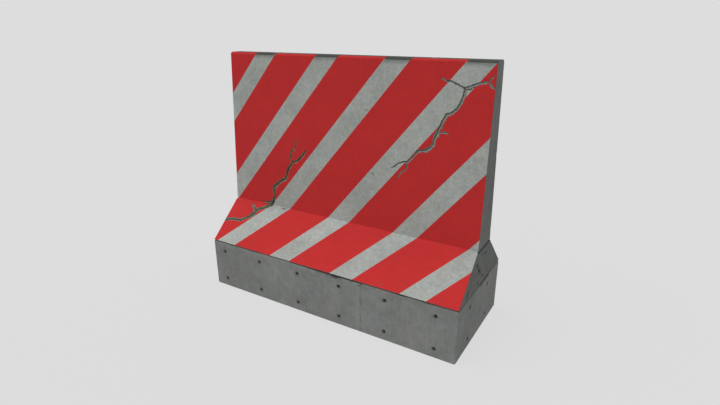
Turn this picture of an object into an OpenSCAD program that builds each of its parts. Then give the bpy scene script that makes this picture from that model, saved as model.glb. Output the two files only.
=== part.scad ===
// Precast concrete barrier: a base, a sloped haunch and a thin stem, cast in three lifts over one steel cage.
// X runs along the barrier, -Y is the striped front, +Z is up. The origin is the middle of the ground face.

/* [Concrete] */
// Length of the barrier
barrier_length = 1500; // [1500:50:1800]
// Width of the base block
base_width = 600; // [600:10:640]
// Height of the vertical faces of the base
base_height = 280; // [280:5:300]
// Height of the top of the haunch, where the stem starts
haunch_top = 480; // [480:5:500]
// Height of the whole barrier
total_height = 1320; // [1300:10:1400]
// Thickness of the stem at its foot
stem_foot = 172; // [172:2:190]
// Thickness of the stem at its top
stem_top = 84; // [84:2:96]
// Size of the bevel along the two top edges
top_bevel = 9; // [6:1:12]
// Size of the groove that the joint between two lifts shows
joint_groove = 8; // [4:1:10]

/* [Tie holes] */
// Distance between two columns of tie holes
tie_pitch = 262.5; // [250:2.5:262.5]
// Height of the lower row of tie holes
tie_low = 47; // [46:1:47]
// Height of the upper row of tie holes
tie_high = 220; // [215:1:220]
// Distance of the formwork seam from the right end
seam_from_right = 500; // [500:10:520]
// Bore of a tie sleeve
sleeve_bore = 16; // [14:1:22]
// Wall of a tie sleeve
sleeve_wall = 2; // [1.5:0.5:2]
// Depth of the tie sockets in the ends
end_socket_depth = 60; // [40:5:70]
// How far the front column of end sockets lies in front of the middle
end_socket_front = 142; // [120:2:150]
// How far the back column of end sockets lies behind the middle
end_socket_back = 120; // [110:2:130]

/* [Stripes] */
// Lean of the stripes from upright, in degrees
stripe_lean = 40; // [30:1:45]
// Distance along the barrier from one stripe to the next
stripe_pitch = 393; // [380:1:400]
// Width along the barrier of a pale stripe
pale_width = 133; // [120:1:160]
// Thickness of the paint
paint = 1; // [1:0.5:2]

/* [Steel] */
// Diameter of stirrups, links and starter bars
link_bar = 10; // [8:1:10]
// Diameter of the long bars in base and haunch
long_bar = 12; // [10:1:12]
// Diameter of the bars in the stem
stem_bar = 8; // [6:1:8]
// Concrete cover of the bar ends
end_cover = 30; // [25:5:40]
// Distance of the lifting sockets from the middle
lift_offset = 450; // [420:5:460]
// Outer diameter of a lifting socket
socket_od = 31; // [30:1:31]
// Thread core diameter of a lifting socket
socket_bore = 21; // [20:0.5:22]
// Depth of the thread in a lifting socket
thread_depth = 60; // [40:5:65]

/* [Hidden] */
$fn = 48;

half_length = barrier_length / 2;
half_base = base_width / 2;
half_foot = stem_foot / 2;
half_top = stem_top / 2;
over = 5;

haunch_rise = haunch_top - base_height;
haunch_run = half_base - half_foot;
haunch_angle = atan2(haunch_rise, haunch_run);
haunch_face = sqrt(haunch_rise * haunch_rise + haunch_run * haunch_run);
stem_rise = total_height - haunch_top;
stem_angle = 90 - atan2(half_foot - half_top, stem_rise);

// Steel inside, as distances of bar centres from the concrete faces
link_cover = 40;
stirrup_side = half_base - 50;
stirrup_bottom = 68;
stirrup_top = base_height - 24;
link_leg = half_base - 60;
link_foot = 110;
starter_foot_z = 95;
starter_foot_y = 190;
starter_cover = 34;
starter_end_z = 880;
hairpin_cover = 33;
hairpin_low = haunch_top + 40;
hairpin_high = total_height - 40;
stem_bar_cover = 24;
stem_bar_count = 6;
stem_bar_low = haunch_top + 60;
stem_bar_high = total_height - 80;
base_bar_y = [-222, -80, 80, 222];
base_bottom_z = stirrup_bottom + link_bar / 2 + long_bar / 2 + 1;
base_top_z = stirrup_top - link_bar / 2 - long_bar / 2 - 1;
bend = 20;
hairpin_bend = 10;
tail_bend = 40;
bend_overlap = 0.5;
bend_swell = 0.1;

// Along the barrier
seam_x = half_length - seam_from_right;
tie_x = [for (k = [-4:1]) seam_x + (k + 0.5) * tie_pitch];
cage_end = half_length - 50;
cage_x = concat([-cage_end], [for (k = [-3:1]) seam_x + k * tie_pitch], [cage_end]);
beside = 12;
spacer_x = [for (k = [1, 2, 4, 5]) cage_x[k]];
wheel_x = [tie_x[1], tie_x[4]];
wheel_z = [stem_bar_z(1), stem_bar_z(4)];

sleeve_od = sleeve_bore + 2 * sleeve_wall;
tail_bar = 16;
socket_length = 85;
swage_depth = 20;
tail_low = 850;
tail_wave = 20;
spacer_size = 40;
spacer_y = 150;
wheel_radius = stem_bar_cover - 1;
wheel_width = 12;

// Half the thickness of the stem at height z
function half_stem(z) = half_foot - (z - haunch_top) * (half_foot - half_top) / stem_rise;
// Height of the line that lies link_cover under the haunch's slope, at distance y from the middle
function under_slope(y) = base_height + (half_base - y) * tan(haunch_angle) - link_cover / cos(haunch_angle);
// Height of long bar k of the stem
function stem_bar_z(k) = stem_bar_low + k * (stem_bar_high - stem_bar_low) / (stem_bar_count - 1);
// Place of a bar beside the stirrup at x: a starter bar for side = 1, a link for side = -1. Links lie to the
// left, except at the right end, where the two swap so that the link is the outermost bar there too.
function beside_x(x, side) = x + beside * side * (x == cage_end ? -1 : 1);

// ---- helpers ----

// Takes a shape drawn with x as Y and y as Z, and stands it across the barrier
module across() { rotate([90, 0, 90]) children(); }

// A solid with the given outline across the barrier, over its whole length
module along_barrier(outline, length = barrier_length) {
    across() linear_extrude(length, center = true) polygon(outline);
}

// A straight round bar from a to b in the XY plane
module straight_bar(a, b, r) {
    run = b - a;
    translate([a.x, a.y, 0]) rotate([0, 0, atan2(run.y, run.x)]) rotate([0, 90, 0])
        cylinder(h = norm(run), r = r);
}

// A round bar through points of the XY plane, bent to a radius at each corner. A closed bar also runs from
// the last point to the first. The straights reach a little way into the bends, which are a hair thicker.
module bent_bar(points, r, bend_r, closed = false) {
    count = len(points);
    sides = closed ? count : count - 1;
    dirs = [for (i = [0:sides - 1]) unit(points[(i + 1) % count] - points[i])];
    turns = [for (i = [0:count - 1])
        is_corner(i, count, closed) ? turn_angle(dirs[(i + sides - 1) % sides], dirs[i]) : 0];
    trims = [for (turn = turns) bend_r * tan(abs(turn) / 2)];
    reach = [for (i = [0:count - 1]) is_corner(i, count, closed) ? trims[i] - bend_overlap : 0];
    for (i = [0:sides - 1]) {
        next = (i + 1) % count;
        straight_bar(points[i] + dirs[i] * reach[i], points[next] - dirs[i] * reach[next], r);
    }
    for (i = [0:count - 1]) if (is_corner(i, count, closed)) {
        before = dirs[(i + sides - 1) % sides];
        bar_bend(points[i] - before * trims[i], before, turns[i], r + bend_swell, bend_r);
    }
}

// One bend of a bar, from point p in direction d, turning by turn degrees
module bar_bend(p, d, turn, r, bend_r) {
    side = turn > 0 ? 1 : -1;
    centre = p + [-d.y, d.x] * side * bend_r;
    heading = atan2(d.y, d.x);
    first = turn > 0 ? heading - 90 : heading + 90 + turn;
    translate([centre.x, centre.y, 0]) rotate([0, 0, first])
        rotate_extrude(angle = abs(turn)) translate([bend_r, 0]) circle(r);
}

function unit(v) = v / norm(v);
function is_corner(i, count, closed) = closed || (i > 0 && i < count - 1);
function turn_angle(d, e) = atan2(d.x * e.y - d.y * e.x, d.x * e.x + d.y * e.y);

// A straight long bar at place y, z
module long_bar_at(y, z, diameter) {
    length = barrier_length - 2 * end_cover;
    translate([-length / 2, y, z]) rotate([0, 90, 0]) cylinder(h = length, d = diameter);
}

// Places its children at both sides of the middle plane
module both_sides() {
    children();
    mirror([0, 1, 0]) children();
}

// ---- steel cage ----

module base_stirrups() {
    corners = [[-stirrup_side, stirrup_bottom], [stirrup_side, stirrup_bottom],
               [stirrup_side, stirrup_top], [-stirrup_side, stirrup_top]];
    color("sienna") for (x = cage_x) translate([x, 0, 0])
        across() bent_bar(corners, link_bar / 2, bend, closed = true);
}

module base_bottom_bars() {
    color("sienna") for (y = base_bar_y) long_bar_at(y, base_bottom_z, long_bar);
}

module base_top_bars() {
    color("sienna") for (y = base_bar_y) long_bar_at(y, base_top_z, long_bar);
}

module haunch_links() {
    top_y = half_foot - 20;
    path = [[-link_leg, link_foot], [-link_leg, under_slope(link_leg)], [-top_y, under_slope(top_y)],
            [top_y, under_slope(top_y)], [link_leg, under_slope(link_leg)], [link_leg, link_foot]];
    color("sienna") for (x = cage_x)
        translate([beside_x(x, -1), 0, 0]) across() bent_bar(path, link_bar / 2, bend);
}

module haunch_bars() {
    drop = (link_bar / 2 + long_bar / 2 + 1) / cos(haunch_angle);
    color("sienna") both_sides() for (y = [104, 190]) long_bar_at(y, under_slope(y) - drop, long_bar);
}

module starter_bars() {
    foot_y = half_stem(starter_foot_z) - starter_cover;
    end_y = half_stem(starter_end_z) - starter_cover;
    path = [[starter_foot_y, starter_foot_z], [foot_y, starter_foot_z], [end_y, starter_end_z]];
    color("sienna") for (x = cage_x) translate([beside_x(x, 1), 0, 0])
        both_sides() across() bent_bar(path, link_bar / 2, bend);
}

module stem_hairpins() {
    low_y = half_stem(hairpin_low) - hairpin_cover;
    high_y = half_stem(hairpin_high) - hairpin_cover;
    path = [[-low_y, hairpin_low], [-high_y, hairpin_high], [high_y, hairpin_high], [low_y, hairpin_low]];
    color("sienna") for (x = cage_x) translate([x, 0, 0]) across() bent_bar(path, stem_bar / 2, hairpin_bend);
}

// Long bars of the stem, on the front for side = -1 and on the back for side = 1
module stem_long_bars(side) {
    for (k = [0:stem_bar_count - 1]) {
        z = stem_bar_z(k);
        long_bar_at(side * (half_stem(z) - stem_bar_cover), z, stem_bar);
    }
}

module stem_front_bars() { color("sienna") stem_long_bars(-1); }

module stem_back_bars() { color("sienna") stem_long_bars(1); }

// ---- lifting sockets ----

// A threaded socket, flush with the top, swaged onto the head of its anchor bar
module lifting_socket(x) {
    color("silver") translate([x, 0, total_height - socket_length]) difference() {
        cylinder(h = socket_length, d = socket_od);
        translate([0, 0, socket_length - thread_depth]) cylinder(h = thread_depth + over, d = socket_bore);
        translate([0, 0, -over]) cylinder(h = swage_depth + over, d = tail_bar);
    }
}

// A wavy anchor bar that holds a lifting socket in the stem
module lifting_anchor_tail(x) {
    head = total_height - socket_length + swage_depth;
    step = (head - 80 - tail_low) / 4;
    path = [[0, head], [0, head - 80], [tail_wave, head - 80 - step], [-tail_wave, head - 80 - 2.5 * step],
            [0, tail_low]];
    color("dimgray") translate([x, 0, 0]) rotate([90, 0, 0]) bent_bar(path, tail_bar / 2, tail_bend);
}

module lifting_socket_left() { lifting_socket(-lift_offset); }

module lifting_socket_right() { lifting_socket(lift_offset); }

module lifting_anchor_tail_left() { lifting_anchor_tail(-lift_offset); }

module lifting_anchor_tail_right() { lifting_anchor_tail(lift_offset); }

// The space that one socket and its tail take out of the stem
module lifting_anchor_space(x) {
    translate([x, 0, total_height - socket_length]) cylinder(h = socket_length + over, d = socket_od);
    lifting_anchor_tail(x);
}

// ---- tie holes ----

// Cylinders along Y at every tie hole of the front
module tie_rods(diameter, length) {
    for (x = tie_x, z = [tie_low, tie_high])
        translate([x, 0, z]) rotate([90, 0, 0]) cylinder(h = length, d = diameter, center = true);
}

// Cylinders along X at the four tie holes of an end, for side = -1 at the left
module end_rods(side, diameter, outside, depth) {
    for (y = [-end_socket_front, end_socket_back], z = [tie_low, tie_high])
        translate([side * (half_length + outside), y, z]) rotate([0, -90 * side, 0])
            cylinder(h = depth + outside, d = diameter);
}

module form_tie_sleeves() {
    color("lightgray") difference() {
        tie_rods(sleeve_od, base_width);
        tie_rods(sleeve_bore, base_width + 2 * over);
    }
}

// Blind sockets with a closed inner end
module end_tie_sockets(side) {
    color("lightgray") difference() {
        end_rods(side, sleeve_od, 0, end_socket_depth);
        end_rods(side, sleeve_bore, over, end_socket_depth - sleeve_wall);
    }
}

module end_tie_sockets_left() { end_tie_sockets(-1); }

module end_tie_sockets_right() { end_tie_sockets(1); }

// ---- spacers ----

// Blocks that hold the cage off the ground, each with a saddle for the stirrup
module cage_spacer_shapes() {
    for (x = spacer_x, y = [-spacer_y, spacer_y])
        translate([x - spacer_size / 2, y - spacer_size / 2, 0])
            cube([spacer_size, spacer_size, stirrup_bottom]);
}

module cage_spacer_blocks() {
    color("darkgray") difference() {
        cage_spacer_shapes();
        base_stirrups();
    }
}

// Round spacers that keep the long bars of the stem off the formwork
module stem_wheel_spacers() {
    color("darkgray") both_sides() for (x = wheel_x, z = wheel_z)
        translate([x, half_stem(z) - stem_bar_cover, z]) rotate([0, 90, 0]) difference() {
            cylinder(h = wheel_width, r = wheel_radius, center = true);
            cylinder(h = wheel_width + over, d = stem_bar, center = true);
        }
}

// ---- concrete ----

// The lower lift, with its top edges bevelled where the joint shows
module base_shape() {
    g = joint_groove;
    intersection() {
        along_barrier([[-half_base, 0], [half_base, 0],
                       [half_base, base_height - g], [half_base - g, base_height],
                       [-half_base + g, base_height], [-half_base, base_height - g]]);
        bevelled_ends(0, base_height, g);
    }
}

// A block over the whole width, with its top edges bevelled at both ends
module bevelled_ends(low, high, g) {
    rotate([90, 0, 0]) linear_extrude(base_width + over, center = true)
        polygon([[-half_length, low], [half_length, low], [half_length, high - g], [half_length - g, high],
                 [-half_length + g, high], [-half_length, high - g]]);
}

module haunch_shape() {
    intersection() {
        along_barrier([[-half_base, base_height], [half_base, base_height],
                       [half_foot, haunch_top], [-half_foot, haunch_top]]);
        bevelled_ends(base_height, haunch_top, joint_groove);
    }
}

module stem_shape() {
    bevel_y = half_stem(total_height - top_bevel);
    along_barrier([[-half_foot, haunch_top], [half_foot, haunch_top], [bevel_y, total_height - top_bevel],
                   [half_top - top_bevel, total_height], [-half_top + top_bevel, total_height],
                   [-bevel_y, total_height - top_bevel]]);
}

module base_block() {
    color("gray") difference() {
        base_shape();
        base_stirrups();
        base_bottom_bars();
        base_top_bars();
        haunch_links();
        starter_bars();
        cage_spacer_shapes();
        tie_rods(sleeve_od, base_width + 2 * over);
        end_rods(-1, sleeve_od, over, end_socket_depth);
        end_rods(1, sleeve_od, over, end_socket_depth);
    }
}

module haunch_block() {
    color("gray") difference() {
        haunch_shape();
        haunch_links();
        haunch_bars();
        starter_bars();
    }
}

module stem_wall() {
    color("gray") difference() {
        stem_shape();
        starter_bars();
        stem_hairpins();
        stem_long_bars(-1);
        stem_long_bars(1);
        stem_wheel_spacers();
        lifting_anchor_space(-lift_offset);
        lifting_anchor_space(lift_offset);
    }
}

// ---- paint ----

// The slope and the stem face carry the stripes; s counts up both of them from the foot of the slope
paint_start = 3;
s_kink = haunch_face;
s_bevel = haunch_face + stem_rise / sin(stem_angle) - top_bevel;

// A point on the front's painted faces at s, raised by d from the concrete
function slope_point(s, d) = [-half_base + s * cos(haunch_angle) - d * sin(haunch_angle),
                              base_height + s * sin(haunch_angle) + d * cos(haunch_angle)];
function stem_point(s, d) = [-half_foot + (s - s_kink) * cos(stem_angle) - d * sin(stem_angle),
                             haunch_top + (s - s_kink) * sin(stem_angle) + d * cos(stem_angle)];
// Where the two paint surfaces meet in the kink, as an s on the slope and an s on the stem
kink_cut = paint * tan((stem_angle - haunch_angle) / 2);

module slope_coat() {
    along_barrier([slope_point(paint_start, 0), slope_point(s_kink, 0), slope_point(s_kink - kink_cut, paint),
                   slope_point(paint_start, paint)]);
}

module stem_coat() {
    along_barrier([stem_point(s_kink, 0), stem_point(s_bevel, 0), stem_point(s_bevel, paint),
                   stem_point(s_kink + kink_cut, paint)]);
}

// Prisms that cut the stripes out of a coat: each stands on the face that starts at p and rises at angle
module stripe_cutters(p, angle, s0, s1, offset, width) {
    low = s0 * tan(stripe_lean);
    high = s1 * tan(stripe_lean);
    translate([0, p.x, p.y]) rotate([angle, 0, 0]) translate([0, -s0, -over]) linear_extrude(2 * over)
        for (k = [-5:3]) {
            x = (k + 0.5) * stripe_pitch - offset;
            polygon([[x + low, s0], [x + width + low, s0], [x + width + high, s1], [x + high, s1]]);
        }
}

module stripes(offset, width) {
    intersection() {
        slope_coat();
        stripe_cutters(slope_point(0, 0), haunch_angle, 0, s_kink, offset, width);
    }
    intersection() {
        stem_coat();
        stripe_cutters(stem_point(s_kink, 0), stem_angle, s_kink, s_bevel, offset, width);
    }
}

module front_red_stripes() { color("firebrick") stripes(0, stripe_pitch - pale_width); }

module front_pale_stripes() { color("lightgray") stripes(pale_width, pale_width); }

module back_red_stripes() { rotate([0, 0, 180]) front_red_stripes(); }

module back_pale_stripes() { rotate([0, 0, 180]) front_pale_stripes(); }

base_block();
haunch_block();
stem_wall();
base_stirrups();
base_bottom_bars();
base_top_bars();
haunch_links();
haunch_bars();
starter_bars();
stem_hairpins();
stem_front_bars();
stem_back_bars();
lifting_socket_left();
lifting_socket_right();
lifting_anchor_tail_left();
lifting_anchor_tail_right();
form_tie_sleeves();
end_tie_sockets_left();
end_tie_sockets_right();
cage_spacer_blocks();
stem_wheel_spacers();
front_red_stripes();
front_pale_stripes();
back_red_stripes();
back_pale_stripes();
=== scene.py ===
"""A precast concrete barrier with painted warning stripes, worn and cracked, on a pale studio floor.

The three cast lifts are skins of triangles that follow the stripes, cracks, tie holes and pits. The skins are
then worn: edges rounded and chipped, faces wavy, cracks and pits sunk. The paint is a thin film on top.
"""
import math

import bpy
import numpy as np
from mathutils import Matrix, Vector, noise
from mathutils.geometry import delaunay_2d_cdt


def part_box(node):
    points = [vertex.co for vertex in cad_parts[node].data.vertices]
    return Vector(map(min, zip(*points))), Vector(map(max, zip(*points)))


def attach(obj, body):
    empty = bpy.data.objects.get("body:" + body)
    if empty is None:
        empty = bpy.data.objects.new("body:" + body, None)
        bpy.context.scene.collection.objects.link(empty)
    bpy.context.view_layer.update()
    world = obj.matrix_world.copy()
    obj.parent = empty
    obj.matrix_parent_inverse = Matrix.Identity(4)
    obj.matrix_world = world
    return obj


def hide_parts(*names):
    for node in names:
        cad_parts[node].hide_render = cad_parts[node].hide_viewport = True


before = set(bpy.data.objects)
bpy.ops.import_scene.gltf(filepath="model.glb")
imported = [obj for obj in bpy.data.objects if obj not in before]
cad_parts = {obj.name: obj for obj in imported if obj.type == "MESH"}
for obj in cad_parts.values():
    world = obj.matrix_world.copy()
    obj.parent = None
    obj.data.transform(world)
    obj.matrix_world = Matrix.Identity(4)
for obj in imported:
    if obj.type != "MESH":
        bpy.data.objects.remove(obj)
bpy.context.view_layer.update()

MM = 0.001
rng = np.random.default_rng(7)

# ---- sizes ----

base_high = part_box("base_block")[1]
haunch_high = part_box("haunch_block")[1]
stem_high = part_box("stem_wall")[1]
socket_low, socket_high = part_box("lifting_socket_right")
end_socket_low, end_socket_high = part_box("end_tie_sockets_right")
sleeve_low, sleeve_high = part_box("form_tie_sleeves")

HALF_LENGTH, HALF_BASE, Z_BASE = base_high
_, HALF_FOOT, Z_TOP = stem_high
Z_KINK = haunch_high.z
HALF_TOP = 42 * MM
BEVEL = 9 * MM
END_GROOVE = 8 * MM
SIDE_GROOVE = 6 * MM

SLEEVE_RADIUS = 10 * MM
TIE_X = np.linspace(sleeve_low.x + SLEEVE_RADIUS, sleeve_high.x - SLEEVE_RADIUS, 6)
TIE_Z = (sleeve_low.z + SLEEVE_RADIUS, sleeve_high.z - SLEEVE_RADIUS)
END_Y = np.array([end_socket_low.y + SLEEVE_RADIUS, end_socket_high.y - SLEEVE_RADIUS])
END_DEPTH = end_socket_high.x - end_socket_low.x
SOCKET_RADIUS = (socket_high.x - socket_low.x) / 2
SOCKET_X = (socket_high.x + socket_low.x) / 2
SOCKET_DEPTH = socket_high.z - socket_low.z
SOCKET_WALL = 5 * MM
PLASTIC_WALL = 2 * MM
RECESS = 3 * MM
PLAY = 0.2 * MM
SEAM_X = (TIE_X[3] + TIE_X[4]) / 2

STRIPE_LEAN = math.tan(math.radians(40))
STRIPE_PITCH = 393 * MM
PALE_WIDTH = 133 * MM
PAINT_START = 2 * MM
PAINT_THICKNESS = 0.5 * MM
PAINT_ROOT = 0.3 * MM
BARE_ARRIS = 1.6 * MM
JOINT_GRIME, JOINT_FADE = 0.97, 3 * MM
HOLE_DIRT = 0.9
FLAKE = 15
JOIN = 0.01 * MM

STEP = 12 * MM
JITTER = 0.2
ROWS = np.array([2, 5, 9]) * MM
RING = 24
PIT_CORNERS = 7
RIM = 3 * MM
PIT_TO_LINE, PIT_TO_DISC, PIT_TO_EDGE, PIT_TO_PIT, PIT_TO_PLACED = np.array([10, 12, 14, 15, 18]) * MM
SAME, NEAR_END, TINY = 1e-6, 1e-5, 1e-30
LONG_WAVE, SHORT_WAVE = 160 * MM, 25 * MM


def length(vectors):
    """The length of each row."""
    return np.linalg.norm(vectors, axis=1)


def unit(values):
    """Values held between 0 and 1."""
    return np.clip(values, 0, 1)


def circle(count):
    """The corners of a regular polygon of radius 1."""
    turn = np.arange(count) * 2 * math.pi / count
    return np.stack([np.cos(turn), np.sin(turn)], 1)


def leftward(ahead):
    """The unit direction square to each direction on a flat face, to its left."""
    return np.stack([-ahead[:, 1], ahead[:, 0]], 1) / length(ahead)[:, None]


def raise_to(values, least, rows=slice(None)):
    """Raises values, or some rows of them, to at least the other ones."""
    values[rows] = np.maximum(values[rows], least)


def stem_half(z):
    """Half the thickness of the stem at height z, without its bevels."""
    return HALF_FOOT + (HALF_TOP - HALF_FOOT) * (z - Z_KINK) / (Z_TOP - Z_KINK)


# The path up a painted side, as (distance from the middle, height), and how far along it its corners lie
PATH = np.array([
    (HALF_BASE, Z_BASE), (HALF_FOOT, Z_KINK), (stem_half(Z_TOP - BEVEL), Z_TOP - BEVEL),
    (HALF_TOP - BEVEL, Z_TOP)])
MIRROR = PATH * (-1, 1)
S_BASE, S_KINK, S_BEVEL, _ = np.concatenate([[0], np.cumsum(length(np.diff(PATH, axis=0)))])

# ---- cracks ----

# Each branch: how far its lips are broken to its left and right, in mm, how mossy it is, and its points as
# (along the barrier, up the painted side, width of the groove), in mm
CRACKS = [
    # the right crack
    (3, 3, 0.3, [(505, 1055, 2), (520, 1048, 3), (540, 1040, 5)]),
    (0.5, 2, 0, [(532, 1044, 4), (550, 1042, 7), (590, 1028, 7), (616, 1015, 8)]),
    (0.5, 13, 0, [(616, 1015, 6), (635, 1024, 5), (655, 1031, 5)]),
    (1, 8, 0, [(650, 1030, 5), (680, 1041, 5), (700, 1045, 3), (718, 1048, 3)]),
    (0.5, 1, 0, [(620, 1009, 4), (640, 1011, 6), (656, 1021, 4)]),
    (2, 3, 0.2, [(718, 1048, 3), (740, 1074, 2)]),
    (3, 4, 0.2, [(718, 1048, 4), (734, 1028, 4), (748, 1020, 2)]),
    (9, 1, 0, [(616, 1015, 7), (616, 1000, 6), (610, 975, 6), (602, 950, 6), (590, 928, 7), (567, 908, 7),
     (541, 898, 7), (530, 875, 6), (515, 840, 8), (506, 822, 11)]),
    (10, 3, 0.1, [(508, 826, 11), (502, 805, 13), (491, 782, 6), (490, 760, 5), (478, 744, 6), (457, 729, 9),
     (442, 726, 6)]),
    (6, 1, 0, [(448, 727, 6), (415, 721, 11), (400, 700, 7), (385, 680, 7), (365, 662, 7), (342, 657, 7)]),
    (0.5, 0.5, 0, [(346, 658, 6), (320, 647, 6), (297, 628, 6), (282, 620, 2)]),
    (4, 5, 0.1, [(510, 814, 3), (535, 818, 3), (562, 816, 2)]),
    (3, 3, 0.7, [(362, 660, 2), (367, 637, 2), (360, 620, 1), (342, 610, 2), (328, 592, 1), (317, 566, 1)]),
    # the left crack, then the short mark on the kink
    (3, 3, 0.9, [(-292, 694, 1), (-302, 665, 4), (-306, 640, 3), (-333, 618, 6), (-337, 590, 6),
     (-326, 568, 8)]),
    (3, 3, 1, [(-232, 642, 3), (-250, 617, 10), (-272, 592, 9), (-295, 573, 9), (-325, 565, 9)]),
    (4, 3, 1, [(-325, 565, 11), (-337, 545, 11), (-354, 525, 12), (-361, 500, 10), (-366, 480, 10),
     (-376, 463, 13), (-400, 450, 12), (-420, 437, 10), (-440, 418, 18), (-460, 400, 19), (-459, 372, 12),
     (-457, 348, 12), (-463, 325, 15), (-472, 305, 19)]),
    (4, 3, 0.8, [(-472, 305, 19), (-484, 292, 20), (-502, 280, 18), (-520, 268, 18), (-538, 255, 17),
     (-560, 246, 18), (-568, 228, 27), (-571, 210, 26), (-588, 195, 16), (-606, 181, 11)]),
    (5, 5, 0.8, [(-598, 186, 10), (-622, 166, 10), (-638, 157, 9), (-669, 153, 9), (-705, 150, 10),
     (-728, 143, 8), (-742, 136, 9), (-765, 126, 14)]),
    (5, 5, 0.7, [(-570, 240, 9), (-586, 248, 7), (-603, 260, 6), (-618, 274, 2)]),
    (2, 2, 0.9, [(-480, 309, 9), (-502, 307, 7), (-526, 302, 5), (-548, 300, 2)]),
    (0.5, 0.5, 0.3, [(-402, 286, 2), (-388, 283, 6), (-372, 286, 3)]),
]
CRACK_SPACING = 5 * MM
CRACK_DEPTH = 7 * MM
CRACK_STEEPNESS = 1.6
LIP_DEPTH = 1.5 * MM
LEAST_LIP = 0.3 * MM
STRAY = 0.9 * MM
TAPER = 3


def resample(points, spacing):
    """Points along a line, about that far apart, with all their numbers interpolated."""
    points = np.array(points, float)
    along = np.concatenate([[0], np.cumsum(length(np.diff(points[:, :2], axis=0)))])
    count = max(3, round(along[-1] / spacing) + 1)
    at = np.linspace(0, along[-1], count)
    return np.stack([np.interp(at, along, column) for column in points.T], 1)


def nearest_on(line, points):
    """The number of the line's stretch nearest to each point, how far along it, and the gap from there."""
    run = line[1:] - line[:-1]
    rel = points[:, None] - line[None, :-1]
    t = unit((rel * run).sum(2) / np.maximum((run * run).sum(1), 1e-18))
    gap = rel - t[..., None] * run
    nearest = np.linalg.norm(gap, axis=2).argmin(1)
    pick = np.arange(len(points)), nearest
    return nearest, t[pick], gap[pick]


class Branch:
    """One branch of a crack: its ragged line, and the widths of its groove and lips along it."""

    def __init__(self, left_lip, right_lip, moss, points):
        line = resample(np.array(points, float) * MM, CRACK_SPACING)
        count = len(line)
        rank = np.arange(count)
        taper = unit(rank / TAPER) * unit(rank[::-1] / TAPER)
        self.moss = moss
        self.line = line[:, :2] + rng.normal(0, STRAY, (count, 2)) * taper[:, None]
        self.groove = line[:, 2] / 2 * rng.uniform(0.75, 1.25, count)
        ragged = rng.uniform(0.5, 1.4, (2, count)) * (0.3 + 0.7 * taper) * MM
        self.lip_left = self.groove + left_lip * ragged[0] + LEAST_LIP
        self.lip_right = self.groove + right_lip * ragged[1] + LEAST_LIP

    def offset(self, left):
        """The line shifted to its left by a distance for each point."""
        return self.line + leftward(np.gradient(self.line, axis=0)) * left[:, None]

    def lines(self):
        """The lines that the mesh follows: the bottom, and the edges of the groove and the lips."""
        return [self.line, *map(self.offset, (self.groove, -self.groove, self.lip_left, -self.lip_right))]

    def state(self, flat):
        """At points (along, up) of the painted side: the depth sunk, and groove, lip and moss from 0 to 1."""
        nearest, t, gap = nearest_on(self.line, flat)
        distance = length(gap)
        run = (self.line[1:] - self.line[:-1])[nearest]
        side = run[:, 0] * gap[:, 1] - run[:, 1] * gap[:, 0]

        def between(widths):
            return widths[nearest] * (1 - t) + widths[nearest + 1] * t

        groove = between(self.groove)
        lip = np.where(side > 0, between(self.lip_left), between(self.lip_right))
        deep = unit(1 - distance / groove)
        broken = np.minimum(1, 3 * unit((lip - distance) / (lip - groove)))
        deepest = np.minimum(CRACK_DEPTH, CRACK_STEEPNESS * groove)
        sunk = np.where(deep > 0, LIP_DEPTH + deepest * deep ** 0.7, LIP_DEPTH * broken)
        inside = np.where(deep > 0, 1, broken)
        return sunk, np.minimum(1, 2 * deep), inside, self.moss * inside


branches = [Branch(*facts) for facts in CRACKS]


def crack_state(flat):
    """The state of all the cracks together."""
    return np.max([branch.state(flat) for branch in branches], 0)


# ---- skins ----


class Face:
    """A flat convex face: an origin, two directions along it, and its outline, anticlockwise."""

    def __init__(self, origin, u, v, outline, s_start=None, cracked=False):
        self.origin, self.u, self.v = (np.array(a, float) for a in (origin, u, v))
        self.normal = np.cross(self.u, self.v)
        self.outline = np.array(outline, float)
        self.inward = leftward(np.roll(self.outline, -1, 0) - self.outline)
        self.s_start = s_start
        self.painted = s_start is not None
        self.cracked = cracked
        self.lines, self.discs, self.pits = [], [], np.zeros((0, 3))

    def to_space(self, flat):
        return self.origin + flat[:, :1] * self.u + flat[:, 1:] * self.v

    def to_flat(self, points):
        rel = points - self.origin
        return np.stack([rel @ self.u, rel @ self.v], 1)

    def to_stripes(self, points):
        """Points of a painted face as (along the barrier, up the painted side)."""
        return self.to_flat(points) + (0, self.s_start)

    def edge_gaps(self, flat):
        """Distance of each point from each edge of the outline, positive inside."""
        return ((flat[:, None] - self.outline[None]) * self.inward[None]).sum(2)


def clip(line, face):
    """The stretches of a line that lie inside the face."""
    runs, run = [], []
    gaps = face.edge_gaps(line)
    for a, b, gap_a, gap_b in zip(line[:-1], line[1:], gaps[:-1], gaps[1:]):
        enters, leaves = gap_a < 0, gap_b < 0
        crossed = gap_a / (gap_a - gap_b + TINY)
        start, end = max([0.0, *crossed[enters]]), min([1.0, *crossed[leaves]])
        outside = (enters & leaves).any() or start >= end
        if not outside:
            run = run or [a + start * (b - a)]
            run.append(a + end * (b - a))
        if run and (outside or end < 1):
            runs.append(np.array(run))
            run = []
    return runs + ([np.array(run)] if run else [])


def ticks(span):
    """Places along an edge of that length: close to its ends, and evenly between."""
    if span < 3 * ROWS[-1]:
        return np.linspace(0, span, max(2, round(span / ROWS[0] / 2)))
    inner = np.linspace(ROWS[-1], span - ROWS[-1], max(2, round(span / STEP)))
    return np.concatenate([[0], ROWS[:-1], inner, span - ROWS[-2::-1], [span]])


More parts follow.
